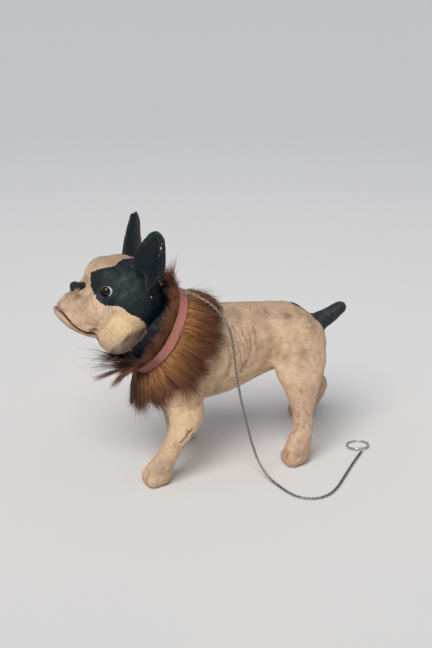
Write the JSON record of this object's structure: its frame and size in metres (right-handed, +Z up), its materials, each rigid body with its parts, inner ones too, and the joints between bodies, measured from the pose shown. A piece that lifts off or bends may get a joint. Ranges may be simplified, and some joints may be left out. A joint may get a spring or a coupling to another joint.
{
  "type": "papier-mache bulldog pull toy",
  "caption": "Old papier-mache bulldog in stride with upright ears, nodding head, dropping jaw, bristle ruff, leather collar and a chain with a finger ring.",
  "frame": {"origin": "floor point under the middle of the dog's box, measured without the chain and its ring", "axes": "+X from the nose towards the tail, +Y from the dog's left side to its right, +Z up"},
  "size_m": [0.5275, 0.3337, 0.4281],
  "materials": {
    "painted_pulp": "aged oil paint on paper pulp, crackled and stained, with black patches on the face, ears, rump and tail",
    "dark_glass": "glossy glass eye, dark iris with a white rim",
    "pink_leather": "faded red leather, worn pink",
    "bristle": "dark brown to golden horsehair and bristle",
    "steel": "dull aged steel wire"
  },
  "bodies": {
    "root": {"body": "painted_pulp", "ruff": "bristle", "collar": "pink_leather", "collar_loop": "steel", "chain": "steel", "pull_ring": "steel"},
    "head": {"head": "painted_pulp", "eye_left": "dark_glass", "eye_right": "dark_glass"},
    "jaw": {"jaw": "painted_pulp"}
  },
  "joints": [
    {"name": "head_nod", "type": "hinge", "parent": "root", "child": "head", "pos_m": [-0.0889, -0.0052, 0.243], "axis": [0, 1, 0], "range_deg": [-6, 6], "stiffness_Nm_per_rad": 1.6, "springref_deg": 8.88},
    {"name": "jaw_open", "type": "hinge", "parent": "head", "child": "jaw", "pos_m": [-0.1929, -0.0052, 0.257], "axis": [0, -1, 0], "range_deg": [0, 18], "stiffness_Nm_per_rad": 0.03, "springref_deg": -20.05}
  ]
}
